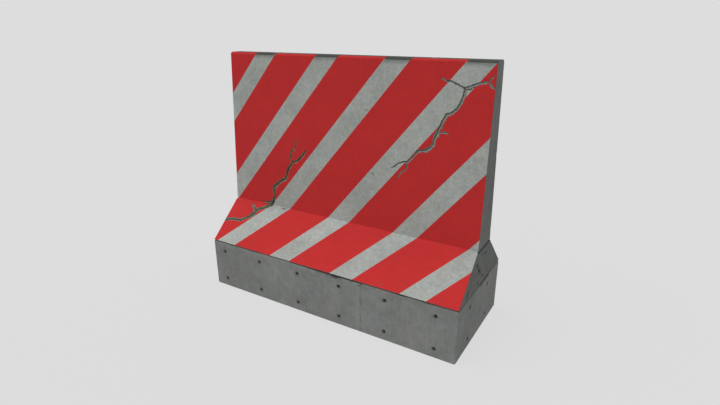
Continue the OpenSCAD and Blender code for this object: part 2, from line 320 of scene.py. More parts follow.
class Skin:
    """The closed triangle mesh of a block. Its faces share the points along their edges."""

    def __init__(self, faces):
        self.points, self.triangles, self.face_points = [], [], []
        self.faces = faces
        self.keys, self.crossings, self.edges = {}, {}, {}
        for face in faces:
            face.runs = [run for line in face.lines for run in clip(line, face)]
            for run in face.runs:
                self.note_crossings(face, run)
        for face in faces:
            self.mesh_face(face)
        self.points = np.array(self.points)

    def add(self, point):
        self.points.append(point)
        return len(self.points) - 1

    def corner(self, point):
        """The number of a corner, which several faces share."""
        key = tuple(np.round(point, 6))
        if key not in self.keys:
            self.keys[key] = self.add(point)
        return self.keys[key]

    def edge_ends(self, face, k):
        ends = face.to_space(face.outline[[k, (k + 1) % len(face.outline)]])
        return ends, tuple(sorted((self.corner(ends[0]), self.corner(ends[1]))))

    def note_crossings(self, face, run):
        """Notes where a line meets an edge, so that the next face has a point there too."""
        gaps = face.edge_gaps(run)
        for i, k in zip(*np.where(np.abs(gaps) < SAME)):
            key = self.edge_ends(face, k)[1]
            self.crossings.setdefault(key, []).append(face.to_space(run[i:i + 1])[0])

    def edge_points(self, face, k):
        """The numbers of the points along edge k, in order."""
        ends, key = self.edge_ends(face, k)
        if key not in self.edges:
            a, b = self.points[key[0]], self.points[key[1]]
            span = np.linalg.norm(b - a)
            ahead = (b - a) / span
            crossed = np.array(sorted((p - a) @ ahead for p in self.crossings.get(key, [])))
            apart = np.diff(crossed, prepend=-1) > SAME
            crossed = crossed[apart & (crossed > NEAR_END) & (crossed < span - NEAR_END)]
            inner = [t for t in ticks(span)[1:-1] if (np.abs(crossed - t) > 1.5 * MM).all()]
            numbers = [self.add(a + ahead * t) for t in sorted([*crossed, *inner])]
            self.edges[key] = [key[0], *numbers, key[1]]
        line = self.edges[key]
        return line if line[0] == self.corner(ends[0]) else line[::-1]

    def inner_points(self, face, border):
        """Rows of points along the border, then a jittered grid."""
        found = []
        for gap, inward in zip(face.edge_gaps(border).T, face.inward):
            for row in ROWS:
                points = border[np.abs(gap) < SAME] + inward * row
                found.append(points[face.edge_gaps(points).min(1) > 0.9 * row])
        axes = [np.linspace(low, high, max(2, round((high - low) / STEP)))
                for low, high in zip(face.outline.min(0), face.outline.max(0))]
        grid = np.stack(np.meshgrid(*axes), -1).reshape(-1, 2)
        grid += rng.uniform(-JITTER, JITTER, grid.shape) * STEP
        return np.concatenate([*found, grid[face.edge_gaps(grid).min(1) > ROWS[-1] + 0.5 * STEP]])

    def plan_face(self, face, border):
        """A face's points, and its fixed edges, which are its border, discs and lines."""
        groups = [(border, "ring")]
        inner = self.inner_points(face, border)
        for centre, radius in face.discs:
            groups += [(centre + (radius + grow) * circle(RING), "ring") for grow in (0, RIM)]
            inner = inner[length(inner - centre) > radius + 7 * MM]
        for u, v, radius in face.pits:
            rim = circle(PIT_CORNERS) * radius
            groups.append((np.concatenate([[(0, 0)], rim * 0.6, rim]) + (u, v), "loose"))
            inner = inner[length(inner - (u, v)) > radius + 2 * MM]
        for run in face.runs:
            groups.append((run, "chain"))
            inner = inner[length(nearest_on(run, inner)[2]) > 3 * MM]
        edges, first = [], 0
        for points, kind in groups:
            last = first + len(points) - 1
            if kind != "loose":
                edges += [(i, i + 1) for i in range(first, last)]
            if kind == "ring":
                edges.append((last, first))
            first = last + 1
        return np.concatenate([*(points for points, _ in groups), inner]), edges

    def mesh_face(self, face):
        """Triangulates a face, and leaves its discs open."""
        border = [i for k in range(len(face.outline)) for i in self.edge_points(face, k)[:-1]]
        coords, edges = self.plan_face(face, face.to_flat(np.array([self.points[i] for i in border])))
        numbers = border + [None] * (len(coords) - len(border))
        made = delaunay_2d_cdt([Vector(c) for c in coords / MM], edges, [], 1, 1e-4)
        places, triangles, origins = np.array(made[0]) * MM, np.array(made[2]), made[3]
        out = []
        for place, origin in zip(places, origins):
            known = [numbers[i] for i in origin if numbers[i] is not None]
            out.append(known[0] if known else self.add(face.to_space(place[None])[0]))
            for i in origin:
                numbers[i] = out[-1]
        for centre, radius in face.discs:
            triangles = triangles[length(places[triangles].mean(1) - centre) > radius * 0.999]
        self.triangles.append(np.array(out)[triangles])
        self.face_points.append(np.unique(self.triangles[-1]))
        starts = [len(border) + 2 * RING * k for k in range(len(face.discs))]
        face.rings = [numbers[first:first + RING] for first in starts]

    def bore(self, face, depth):
        """Sinks a blind hole from each of the face's discs."""
        for ring in face.rings:
            last = self.tube(ring, self.points[ring] - face.normal * depth)
            centre = np.full(RING, len(self.points))
            self.points = np.vstack([self.points, self.points[ring].mean(0) - face.normal * depth])
            self.triangles.append(np.stack([last, np.roll(last, -1), centre], 1))

    def tube(self, ring, end, count=4, end_numbers=None):
        """Joins a ring of points to an end ring, and gives the end ring's numbers."""
        start = self.points[ring]
        last = ring
        for k in range(1, count + 1):
            new = end_numbers if k == count else None
            if new is None:
                new = np.arange(len(self.points), len(self.points) + RING)
                self.points = np.vstack([self.points, start + (end - start) * k / count])
            a, b, c, d = last, np.roll(last, -1), np.roll(new, -1), new
            self.triangles.append(np.stack([a, b, c, a, c, d], 1).reshape(-1, 3))
            last = new
        return last


def prism(profile, painted=()):
    """The faces of a block with that outline across the barrier, and where painted ones start."""
    profile = np.array(profile, float)
    faces = []
    for a, b in zip(profile, np.roll(profile, -1, 0)):
        span = np.linalg.norm(b - a)
        start, ahead, u = a, (b - a) / span, -1.0
        if ahead[1] < -1e-9 or (abs(ahead[1]) < 1e-9 and ahead[0] < 0):
            start, ahead, u = b, -ahead, 1.0
        outline = [(-HALF_LENGTH, 0), (HALF_LENGTH, 0), (HALF_LENGTH, span), (-HALF_LENGTH, span)]
        starts = (s for s, corner in painted if ahead[1] > 0.1 and np.allclose(np.abs(start), corner))
        s_start = next(starts, None)
        cracked = s_start is not None and start[0] < 0 and u > 0
        faces.append(Face((0, *start), (u, 0, 0), (0, *ahead), outline, s_start, cracked))
    for side in (1, -1):
        outline = profile * (side, 1)
        faces.append(Face((side * HALF_LENGTH, 0, 0), (0, side, 0), (0, 0, 1), outline[::side]))
    return faces


def stripe_lines(face):
    """The stripes' edges on a painted face, and the paint's lowest edge."""
    low, high = face.s_start, face.s_start + face.outline[:, 1].max()
    up = np.linspace(low, high, max(2, round((high - low) / STEP) + 1))
    lines = []
    for k in range(-5, 4):
        for shift in (0, -PALE_WIDTH):
            along = (k + 0.5) * STRIPE_PITCH + shift + up * STRIPE_LEAN
            lines.append(np.stack([along, up - low], 1))
    if low == 0:
        along = np.linspace(-HALF_LENGTH, HALF_LENGTH, round(2 * HALF_LENGTH / STEP))
        lines.append(np.stack([along, np.full(len(along), PAINT_START)], 1))
    return lines


def is_red(stripes):
    along = (stripes[:, 0] - stripes[:, 1] * STRIPE_LEAN - STRIPE_PITCH / 2) % STRIPE_PITCH
    return along < STRIPE_PITCH - PALE_WIDTH


def add_pits(face, per_square_metre, largest):
    """Scatters air holes over a face, clear of its edges, discs and lines."""
    low, high = face.outline.min(0), face.outline.max(0)
    count = round(per_square_metre * np.prod(high - low))
    spots = rng.uniform(low, high, (count, 2))
    radii = largest * rng.uniform(0.3, 1, count) ** 2
    keep = face.edge_gaps(spots).min(1) > PIT_TO_EDGE
    for centre, radius in face.discs:
        keep &= length(spots - centre) > radius + PIT_TO_DISC
    for line in face.lines:
        keep &= length(nearest_on(line, spots)[2]) > PIT_TO_LINE
    for i in range(count):
        keep[i] &= not (length(spots[:i][keep[:i]] - spots[i]) < PIT_TO_PIT).any()
    face.pits = np.column_stack([spots, radii])[keep]


def place_pits(face, pits):
    """Adds air holes at given places, and drops the scattered ones near them."""
    pits = np.array(pits, float) * MM
    clear = [all(np.hypot(*(old[:2] - new[:2])) > PIT_TO_PLACED for new in pits) for old in face.pits]
    face.pits = np.vstack([face.pits[clear], pits])


# ---- wear ----


def bumps(points, size, shift):
    """Smooth noise, about -1 to 1, with bumps of that size."""
    return np.array([noise.noise(Vector(p) / size + Vector((shift, 0, 0))) for p in points])


def soften(points, planes, radius):
    """Rounds a convex block's edges, by moving the points outside the rounded shape onto it."""
    normals = np.array([n for n, _ in planes], float)
    normals /= length(normals)[:, None]
    offsets = np.array([n @ np.array(at) for n, (_, at) in zip(normals, planes)])
    moved = points.copy()
    for _ in range(8):
        q = np.maximum(radius[:, None] - (offsets - moved @ normals.T), 0)
        past = length(q)
        over = np.maximum(past - radius, 0)
        pull = (q @ normals) / np.maximum(past, 1e-9)[:, None]
        size = np.maximum(length(pull), 1e-6)
        moved -= pull / size[:, None] * (over / size)[:, None]
    return moved


def edge_radius(points, radius, chip):
    """A rounding radius for each point: the plain one, and in places a chip."""
    coarse = bumps(points, 45 * MM, 3.1)
    fine = bumps(points, 12 * MM, 8.7)
    return radius * (1 + 0.25 * fine) + chip * unit((coarse + 0.35 * fine - 0.42) / 0.25)


def face_sink(face, points, waviness):
    """How far waves, pits and worn hole rims sink each point of a face, and how dirty it gets."""
    flat = face.to_flat(points)
    sunk = waviness * (0.5 + 0.5 * bumps(points, LONG_WAVE, 1.7))
    sunk += 0.25 * waviness * (1 + bumps(points, SHORT_WAVE, 5.3))
    dirt = np.zeros(len(points))
    if face.painted:
        s = flat[:, 1] + face.s_start
        sunk *= unit(np.abs(s - S_KINK) / (40 * MM)) * unit(np.abs(s - S_BEVEL) / (20 * MM))
    for u, v, radius in face.pits:
        near = length(flat - (u, v)) / radius
        sunk += 0.7 * radius * np.sqrt(unit(1 - near * near))
        deepest = 0.2 * radius / MM if face.painted else 0.95
        raise_to(dirt, np.clip(1.7 - 1.3 * near, 0, deepest))
    for centre, radius in face.discs:
        past = length(flat - centre) - radius
        sunk += 0.8 * MM * unit(1 - past / RIM)
        raise_to(dirt, 0.4 * unit(1 - past / (4 * MM)))
    return sunk, dirt


def wear(skin, planes, radius, chip, waviness):
    """Rounds the skin's edges, sinks its faces, and notes how dirty, bleached and mossy it gets."""
    skin.start = start = skin.points.copy()
    skin.points = soften(start, planes, edge_radius(start, radius, chip))
    skin.worn = length(skin.points - start)
    skin.dirt = np.full(len(start), HOLE_DIRT)
    skin.dirt[np.concatenate(skin.face_points)] = 0
    skin.bleach, skin.moss = np.zeros((2, len(start)))
    for face, numbers in zip(skin.faces, skin.face_points):
        sunk, dirt = face_sink(face, start[numbers], waviness)
        raise_to(skin.dirt, dirt, numbers)
        if face.cracked:
            depth, groove, lip, moss = crack_state(face.to_stripes(start[numbers]))
            sunk += depth
            raise_to(skin.dirt, 0.5 * groove, numbers)
            raise_to(skin.bleach, lip, numbers)
            raise_to(skin.moss, moss, numbers)
        skin.points[numbers] -= face.normal * sunk[:, None]


# ---- meshes ----


def add_object(name, data):
    obj = bpy.data.objects.new(name, data)
    bpy.context.scene.collection.objects.link(obj)
    return obj


def mesh_object(name, points, triangles, material, slot, replaced, layers=None):
    """A smooth object with sharp creases, and with named layers of values per point."""
    mesh = bpy.data.meshes.new(name)
    mesh.from_pydata(points.tolist(), [], triangles.tolist())
    mesh.validate()
    for layer, values in (layers or {}).items():
        data = mesh.attributes.new(layer, "FLOAT", "POINT")
        data.data.foreach_set("value", np.asarray(values, np.float32))
    mesh.shade_smooth()
    mesh.set_sharp_from_angle(angle=math.radians(40))
    mesh.materials.append(material)
    obj = add_object(name, mesh)
    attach(obj, "root")
    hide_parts(*replaced)


def used_only(points, triangles, *values):
    """Drops the points that no triangle uses."""
    used, flat = np.unique(triangles, return_inverse=True)
    return points[used], flat.reshape(-1, 3), [v[used] for v in values]


def open_edges(triangles):
    """The edges that only one triangle has, in its own direction."""
    edges = np.concatenate([triangles[:, [0, 1]], triangles[:, [1, 2]], triangles[:, [2, 0]]])
    known = set(map(tuple, edges))
    return np.array([(a, b) for a, b in known if (b, a) not in known])


def point_normals(points, triangles):
    a, b, c = (points[corner] for corner in triangles.T)
    flat = np.cross(b - a, c - a)
    normals = np.zeros_like(points)
    for corner in triangles.T:
        np.add.at(normals, corner, flat)
    return normals / np.maximum(length(normals), 1e-12)[:, None]


# ---- lifts ----

PAINTED = list(zip((S_BASE, S_KINK, S_BEVEL), PATH))


def both_sides(normal, at):
    """A plane, as a normal and a place on it, and its twin on the barrier's other side."""
    turn = np.array([-1, -1, 1])
    return [(normal, at), (turn * normal, turn * at)]


ENDS = both_sides((1, 0, 0), (HALF_LENGTH, 0, 0))

# How far the dark joint line reaches down the base's sides, at places along it, in mm
JOINT_DIRT = [(-750, 4.5), (-640, 5), (-610, 7.5), (-580, 5.5), (-500, 5), (-455, 7), (-410, 5.5),
    (-370, 4.5), (-190, 4.5), (-165, 6.5), (-135, 5.5), (-85, 7), (-50, 7.5), (-10, 10.5), (70, 10.5),
    (110, 14), (150, 7.5), (190, 10), (230, 8), (260, 4.5), (420, 5.5), (470, 8.5), (510, 4.5), (550, 5.5),
    (590, 7.5), (630, 6.5), (670, 4.5), (750, 5)]
# How dirty the base's upright seam is, at heights in mm
SEAM_DIRT = [(0, 0.2), (50, 0.15), (65, 0.5), (85, 0.5), (100, 0.15), (145, 0.2), (160, 0.55), (180, 0.5),
    (195, 0.15), (250, 0.25), (262, 0.8), (280, 0.9)]


def make_base():
    """The lower lift, with tie holes through it and blind holes in its ends."""
    faces = prism([(-HALF_BASE, 0), (HALF_BASE, 0), (HALF_BASE, Z_BASE), (-HALF_BASE, Z_BASE)])
    front, back, right, left = faces[3], faces[1], faces[4], faces[5]
    for face, across in ((front, TIE_X), (back, -TIE_X), (right, END_Y), (left, -END_Y)):
        face.discs = [(np.array([a, z]), SLEEVE_RADIUS) for a in across for z in TIE_Z]
    up = np.linspace(0, Z_BASE, round(Z_BASE / STEP))
    for face in (front, back):
        for shift in (-1.2 * MM, 0, 1.2 * MM):
            face.lines.append(np.stack([np.full(len(up), face.u[0] * (SEAM_X + shift)), up], 1))
        add_pits(face, 15, 2 * MM)
    add_pits(right, 30, 2.5 * MM)
    add_pits(left, 30, 2.5 * MM)
    skin = Skin(faces)
    skin.bore(right, END_DEPTH)
    skin.bore(left, END_DEPTH)
    for ring, opposite in zip(front.rings, back.rings):
        matched = [opposite[(RING // 2 - i) % RING] for i in range(RING)]
        skin.tube(ring, skin.points[matched], 6, matched)
    sides = both_sides((0, 1, 0), (0, HALF_BASE, 0))
    bevels = both_sides((0, 1, 1), (0, HALF_BASE, Z_BASE - SIDE_GROOVE))
    bevels += both_sides((1, 0, 1), (HALF_LENGTH, 0, Z_BASE - END_GROOVE))
    planes = [*ENDS, *sides, *bevels, ((0, 0, -1), (0, 0, 0))]
    wear(skin, planes, radius=2.5 * MM, chip=6 * MM, waviness=0.6 * MM)
    soil_base(skin)
    return skin


def soil_base(skin):
    """Grime under the joint, and the formwork seam, with paler concrete beside it."""
    x, y, z = skin.start.T
    on_side = np.abs(np.abs(y) - HALF_BASE) < 0.1 * MM
    strong = unit((100 * MM - np.abs(y - 60 * MM)) / (40 * MM))
    reach = np.where(on_side, np.interp(x / MM, *np.transpose(JOINT_DIRT)), 7 + 4 * strong) * MM
    raise_to(skin.dirt, JOINT_GRIME * unit((z - Z_BASE + reach) / JOINT_FADE))
    raise_to(skin.dirt, 0.1 * on_side * (x > SEAM_X) * unit((z - Z_BASE + 30 * MM) / (15 * MM)))
    strong = np.interp(z / MM, *np.transpose(SEAM_DIRT))
    seam = on_side * unit(1 - np.abs(x - SEAM_X) / (2 * MM))
    skin.points[:, 1] -= np.sign(y) * (0.5 + strong) * MM * seam
    raise_to(skin.dirt, seam * strong * (1 + 0.4 * bumps(skin.start, 20 * MM, 2.2)))
    from_seam = (x - SEAM_X) / MM
    beside = unit(1 - np.abs(from_seam + 21) / 10) + 0.5 * unit(1 - np.abs(from_seam - 12) / 8)
    skin.bleach = 0.8 * on_side * beside * unit((250 - z / MM) / 60)


# Rock pockets in the haunch's right end: (across, height, radius) in mm
POCKETS = [(-88, 408, 9), (-72, 400, 5), (-56, 373, 10), (-38, 362, 6), (-30, 347, 8), (2, 321, 5),
    (20, 311, 4), (-60, 306, 7), (-202, 308, 9), (-184, 314, 6), (-222, 299, 6), (24, 430, 7), (44, 426, 4),
    (-14, 437, 4)]


def make_haunch():
    """The middle lift, with painted slopes."""
    faces = prism([MIRROR[1], MIRROR[0], PATH[0], PATH[1]], PAINTED)
    dress_painted(faces)
    place_pits(faces[4], POCKETS)
    skin = Skin(faces)
    rise, run = Z_KINK - Z_BASE, HALF_BASE - HALF_FOOT
    slopes = both_sides((0, rise, run), (0, HALF_BASE, Z_BASE))
    bevels = both_sides((1, 0, 1), (HALF_LENGTH, 0, Z_KINK - END_GROOVE))
    wear(skin, [*ENDS, *slopes, *bevels], radius=2 * MM, chip=5 * MM, waviness=0.5 * MM)
    x, y, z = skin.start.T
    on_end = np.abs(np.abs(x) - HALF_LENGTH) < 0.1 * MM
    near_joint = on_end * unit((z - Z_KINK + 10.5 * MM) / JOINT_FADE)
    foot_line = (z < Z_BASE + 0.5 * MM) * (np.abs(y) > HALF_BASE - 1 * MM)
    inside = (HALF_BASE - np.abs(y) - (z - Z_BASE) * run / rise) * rise / math.hypot(rise, run)
    raise_to(skin.dirt, JOINT_GRIME * np.maximum(near_joint, foot_line))
    raise_to(skin.dirt, 0.45 * on_end * unit(1 - inside / (6 * MM)))
    return skin


# Air holes in the front of the stem: (along, up the wall, radius) in mm
WALL_PITS = [(182, 284, 3.2)]


def make_stem():
    """The upper lift, painted, with the lifting sockets' holes in its top."""
    half = stem_half(Z_TOP - BEVEL)
    faces = prism([MIRROR[1], *PATH[1:], *MIRROR[:1:-1]], PAINTED)
    dress_painted(faces)
    place_pits(next(face for face in faces if face.cracked and face.s_start == S_KINK), WALL_PITS)
    top = faces[3]
    top.discs = [(np.array([side * SOCKET_X, HALF_TOP - BEVEL]), SOCKET_RADIUS) for side in (1, -1)]
    skin = Skin(faces)
    skin.bore(top, SOCKET_DEPTH)
    rise, run = Z_TOP - BEVEL - Z_KINK, HALF_FOOT - half
    walls = both_sides((0, rise, run), (0, HALF_FOOT, Z_KINK))
    bevels = both_sides((0, BEVEL, half - HALF_TOP + BEVEL), (0, half, Z_TOP - BEVEL))
    planes = [*ENDS, *walls, *bevels, ((0, 0, 1), (0, 0, Z_TOP))]
    wear(skin, planes, radius=1.5 * MM, chip=4 * MM, waviness=0.6 * MM)
    for face, numbers in zip(skin.faces, skin.face_points):
        grime = 0.7 if face.normal[2] > 0.9 else 0
        if face.painted:
            stripes = face.to_stripes(skin.start[numbers])
            above = (stripes[:, 1] - S_BEVEL) / MM
            washed = np.maximum(0.95 * unit(above / 3 + 1.3), 0.7 * unit(1 + above / 22))
            on_bevel = above > 0.1
            grime = np.where(is_red(stripes), 0.15 * on_bevel, np.where(on_bevel, 0.75, washed))
        raise_to(skin.dirt, grime, numbers)
    return skin


def dress_painted(faces):
    """Gives faces the lines of their stripes and cracks, and air holes."""
    for face in faces:
        if face.painted:
            face.lines += stripe_lines(face)
        if face.cracked and face.s_start != S_BEVEL:
            low, high = face.s_start, face.outline[:, 1].max()
            lines = [line - (0, low) for branch in branches for line in branch.lines()]
            face.lines += [line for line in lines if line[:, 1].max() > 0 and line[:, 1].min() < high]
        if face.painted and face.s_start != S_BEVEL:
            add_pits(face, 14, 2 * MM)
        if abs(face.normal[0]) > 0.5:
            add_pits(face, 90, 3.5 * MM)


# ---- paint ----


def painted_side(skins, front):
    """One side's surface from both upper lifts, joined at the kink, and its triangles' colours."""
    triangles, colours, count = [], [], 0
    for skin in skins:
        for face, corners in zip(skin.faces, skin.triangles):
            if not face.painted or (face.normal[1] < 0) != front:
                continue
            stripes = face.to_stripes(skin.start[corners].mean(1))
            red = is_red(stripes)
            bare = stripes[:, 1] < 0.9 * PAINT_START
            bare |= ~red & (stripes[:, 1] > S_BEVEL - 1.7 * MM)
            bare |= skin.worn[corners].max(1) > 2.4 * MM
            bare |= np.abs(stripes[:, 0]) > HALF_LENGTH - BARE_ARRIS
            if face.cracked:
                bare |= crack_state(stripes)[2] > 0
            colours.append(np.where(bare, 0, np.where(red, 1, 2)))
            triangles.append(corners + count)
        count += len(skin.points)
    start, points = (np.vstack([getattr(skin, layer) for skin in skins]) for layer in ("start", "points"))
    dirt = np.concatenate([skin.dirt for skin in skins])
    triangles, colours = np.concatenate(triangles), np.concatenate(colours)
    joined = np.unique(np.round(start / JOIN).astype(int), axis=0, return_inverse=True)[1].ravel()
    share = np.bincount(joined)
    points = np.stack([np.bincount(joined, column) / share for column in points.T], 1)
    dirt = np.bincount(joined, dirt) / share
    triangles = joined[triangles]
    return points, point_normals(points, triangles), dirt, triangles, colours


def without_pinches(triangles):
    """Drops triangles that touch the rest at a single point, until none do."""
    while True:
        numbers, counts = np.unique(open_edges(triangles)[:, 0], return_counts=True)
        pinched = numbers[counts > 1]
        if not len(pinched):
            return triangles
        triangles = triangles[~np.isin(triangles, pinched).any(1)]


def without_flakes(triangles):
    """Drops loose islands of fewer than FLAKE triangles."""
    label = np.arange(triangles.max() + 1)
    settled = False
    while not settled:
        new = label.copy()
        for corner in triangles.T:
            np.minimum.at(new, corner, label[triangles].min(1))
        new = new[new]
        settled = (new == label).all()
        label = new
    island = label[triangles[:, 0]]
    return triangles[np.bincount(island)[island] >= FLAKE]


def paint_film(name, side, colour, material, slot):
    """One colour of one side's paint, as a thin closed film."""
    points, normals, dirt, triangles, colours = side
    chosen = without_flakes(without_pinches(triangles[colours == colour]))
    points, outer, (normals, dirt) = used_only(points, chosen, normals, dirt)
    shell = np.vstack([points + normals * PAINT_THICKNESS, points - normals * PAINT_ROOT])
    inner = outer[:, ::-1] + len(points)
    a, b = open_edges(outer).T
    walls = [np.column_stack([b, a, a + len(points)]), np.column_stack([b, a + len(points), b + len(points)])]
    triangles = np.concatenate([outer, inner, *walls])
    layers = {"dirt": np.concatenate([dirt, dirt])}
    mesh_object(f"{name}_film", shell, triangles, material, slot, [name], layers)


# ---- hardware ----


def turned(profile, centre, across, along, pitch=0.0, tooth=0.0):
    """A solid turned from an outline of (radius, place along the axis), with a thread if asked."""
    profile = np.array(profile, float)
    count = len(profile)
    turn = np.arange(RING) * 2 * math.pi / RING
    ring = circle(RING) @ np.array([across, np.cross(along, across)])
    radius = np.repeat(profile[None, :, 0], RING, 0)
    if pitch:
        inside = np.abs(radius - profile[:, 0].max() + SOCKET_WALL) < JOIN
        radius += inside * tooth * (1 + np.cos(2 * math.pi * profile[None, :, 1] / pitch - turn[:, None]))
    points = radius[..., None] * ring[:, None] + profile[None, :, 1:] * np.array(along, float) + centre
    place = np.arange(RING * count).reshape(RING, count)
    place[:, profile[:, 0] == 0] = place[:1, profile[:, 0] == 0]
    a, b = place, np.roll(place, -1, 1)
    c, d = np.roll(a, -1, 0), np.roll(b, -1, 0)
    triangles = np.stack([a, c, d, a, d, b], 2).reshape(-1, 3)
    proper = [len(set(triangle)) == 3 for triangle in triangles.tolist()]
    return used_only(points.reshape(-1, 3), triangles[proper])[:2]


def gather(parts):
    """Several meshes as one."""
    points, triangles = zip(*parts)
    starts = np.cumsum([0, *map(len, points)])
    return np.vstack(points), np.concatenate([t + start for t, start in zip(triangles, starts)])


def tube_outline(radius, wall, low, high):
    """The outline of a tube's wall, with rounded lips."""
    inner, lip = radius - wall, 0.3 * wall
    middle = np.linspace(low + lip, high - lip, 12)
    return [
        (inner, low + lip), (inner + lip, low), (radius - lip, low), *((radius, m) for m in middle),
        (radius - lip, high), (inner + lip, high), *((inner, m) for m in middle[:0:-1])]


def make_sleeves(material):
    """The plastic sleeves of the form ties, right through the base."""
    outline = tube_outline(SLEEVE_RADIUS - PLAY, PLASTIC_WALL, -HALF_BASE + RECESS, HALF_BASE - RECESS)
    parts = [turned(outline, (x, 0, z), (0, 0, 1), (0, 1, 0)) for x in TIE_X for z in TIE_Z]
    mesh_object("plastic_tie_sleeves", *gather(parts), material, "sleeve_plastic", ["form_tie_sleeves"])


def make_end_sockets(side, name, material):
    """The blind plastic sockets of one end."""
    radius = SLEEVE_RADIUS - PLAY
    inner, lip = radius - PLASTIC_WALL, 0.3 * PLASTIC_WALL
    back, mouth = HALF_LENGTH - END_DEPTH + PLAY, HALF_LENGTH - RECESS
    walls = np.linspace(back, mouth - lip, 8)
    floor = back + PLASTIC_WALL
    outline = [(0, back), *((radius, w) for w in walls), (radius - lip, mouth), (inner + lip, mouth)]
    outline += [(inner, w) for w in np.linspace(mouth - lip, floor, 8)] + [(0, floor)]
    parts = [turned(outline, (0, y, z), (0, 0, 1), (side, 0, 0)) for y in END_Y for z in TIE_Z]
    mesh_object(f"plastic_{name}", *gather(parts), material, "sleeve_plastic", [name])


def make_lifting_socket(side, name, material):
    """A steel lifting socket with a coarse thread, just below the top of the stem."""
    radius = SOCKET_RADIUS - PLAY
    bore, pitch = radius - SOCKET_WALL, 4 * MM
    top, bottom = Z_TOP - 1 * MM, Z_TOP - SOCKET_DEPTH + PLAY
    floor = Z_TOP - 60 * MM
    walls = np.linspace(bottom + 1 * MM, top - 1 * MM, 16)
    threads = np.linspace(top - 2 * MM, floor, 116)
    outline = [(0, bottom), (radius - 1 * MM, bottom), *((radius, w) for w in walls), (radius - 1 * MM, top)]
    outline += [(bore + 2 * MM, top), *((bore, w) for w in threads), (0, floor - 3 * MM)]
    mesh = turned(outline, (side * SOCKET_X, 0, 0), (1, 0, 0), (0, 0, 1), pitch, 0.7 * MM)
    mesh_object(f"threaded_{name}", *mesh, material, "socket_steel", [name])


# ---- materials ----


class Look:
    """A material under construction."""

    def __init__(self, name, roughness, metallic=0.0, specular=0.5):
        self.material = bpy.data.materials.new(name)
        self.material.use_nodes = True
        self.tree = self.material.node_tree
        self.shader = self.tree.nodes["Principled BSDF"]
        self.put(self.shader, {"Roughness": roughness, "Metallic": metallic, "Specular IOR Level": specular})
        self.place = self.node("TexCoord").outputs["Object"]

    def put(self, node, inputs):
        """Gives a node's inputs values or links."""
        for key, value in inputs.items():
            if isinstance(value, bpy.types.NodeSocket):
                self.tree.links.new(value, node.inputs[key])
            else:
                node.inputs[key].default_value = value

    def node(self, kind, inputs=None, **settings):
        made = self.tree.nodes.new("ShaderNode" + kind)
        for key, value in settings.items():
            setattr(made, key, value)
        self.put(made, inputs or {})
        return made

    def noise(self, scale, detail=4, roughness=0.6, shift=0, stretch=(1, 1, 1)):
        """Cloudy noise with that many features per metre."""
        inputs = {"Vector": self.place, "Scale": stretch, "Location": (shift, shift, shift)}
        place = self.node("Mapping", inputs).outputs["Vector"]
        inputs = {"Vector": place, "Scale": scale, "Detail": detail, "Roughness": roughness}
        return self.node("TexNoise", inputs).outputs["Fac"]

    def fit(self, value, low, high, to_low=0.0, to_high=1.0):
        """A value stretched from one range to another, and held inside it."""
        inputs = {"Value": value, "From Min": low, "From Max": high, "To Min": to_low, "To Max": to_high}
        return self.node("MapRange", inputs).outputs["Result"]

    def math(self, operation, a, b):
        return self.node("Math", {0: a, 1: b}, operation=operation).outputs["Value"]

    def product(self, *values):
        result = values[0]
        for value in values[1:]:
            result = self.math("MULTIPLY", result, value)
        return result

    def mix(self, factor, a, b):
        """Colour a where the factor is 0, and colour b where it is 1."""
        return self.node("Mix", {0: factor, 6: a, 7: b}, data_type="RGBA").outputs[2]

    def drift(self, factor, colour, *changes):
        """A colour that drifts between two changes of hue."""
        return self.mix(factor, *((*np.multiply(colour, change), 1) for change in changes))

    def shade(self, colour, factor):
        """A colour times a number."""
        return self.node("VectorMath", {0: colour, "Scale": factor}, operation="SCALE").outputs[0]

    def layer(self, name):
        return self.node("Attribute", attribute_name=name).outputs["Fac"]

    def finish(self, colour, height, strength, distance):
        bump = self.node("Bump", {"Strength": strength, "Distance": distance, "Height": height})
        self.put(self.shader, {"Base Color": colour, "Normal": bump.outputs["Normal"]})
        return self.material


BLOOM = (0.22, 0.24, 0.215)
WET_MOSS, DRY_MOSS = (0.035, 0.042, 0.02, 1), (0.2, 0.17, 0.1, 1)
GRIME, PAINT_GRIME = (0.022, 0.027, 0.02, 1), (0.03, 0.03, 0.025, 1)


